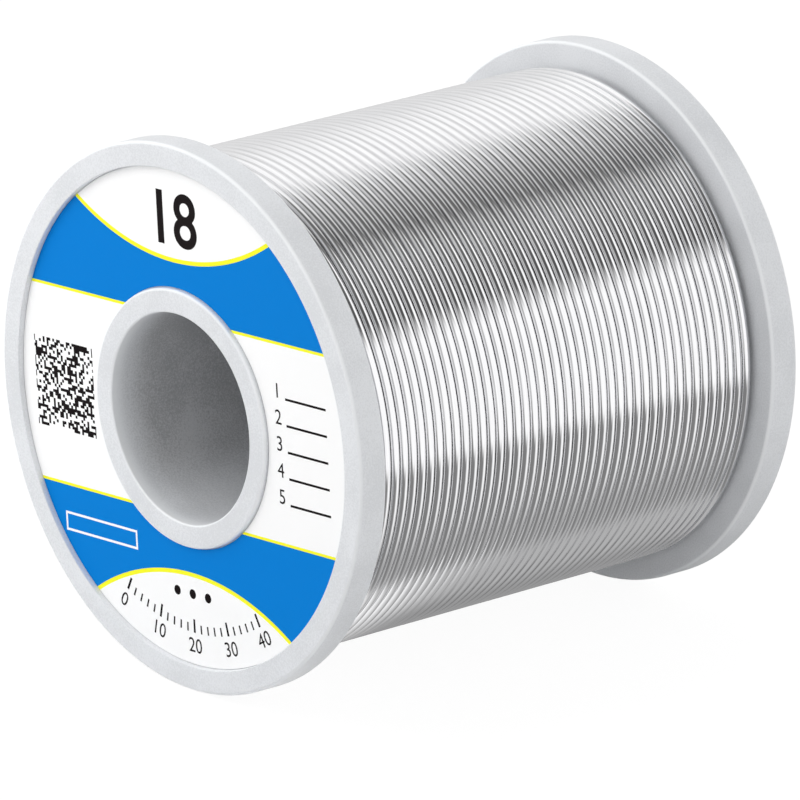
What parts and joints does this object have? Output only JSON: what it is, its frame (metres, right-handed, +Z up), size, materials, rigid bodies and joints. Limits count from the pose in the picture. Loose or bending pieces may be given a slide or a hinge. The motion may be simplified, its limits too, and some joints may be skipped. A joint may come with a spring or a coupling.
{
  "type": "solder wire spool",
  "caption": "Flanged spool of solder wire with a through bore, a ring label sunk in the front flange and bright wire wound level between the flanges.",
  "frame": {"origin": "middle of the bore, half-way between the two rim faces", "axes": "+Y along the bore, away from the labelled face; +Z up, with the spool lying on its two rims"},
  "size_m": [0.056, 0.057, 0.056],
  "materials": {
    "spool_plastic": "satin moulded, off-white",
    "label_print": "printed film, blue and white fields with yellow lines",
    "solder_wire": "bright drawn tin-lead"
  },
  "bodies": {
    "root": {"front_flange": "spool_plastic", "rear_flange": "spool_plastic", "barrel": "spool_plastic", "front_label": "label_print", "inner_wire_layers": "solder_wire", "outer_wire_layer": "solder_wire"}
  },
  "joints": []
}
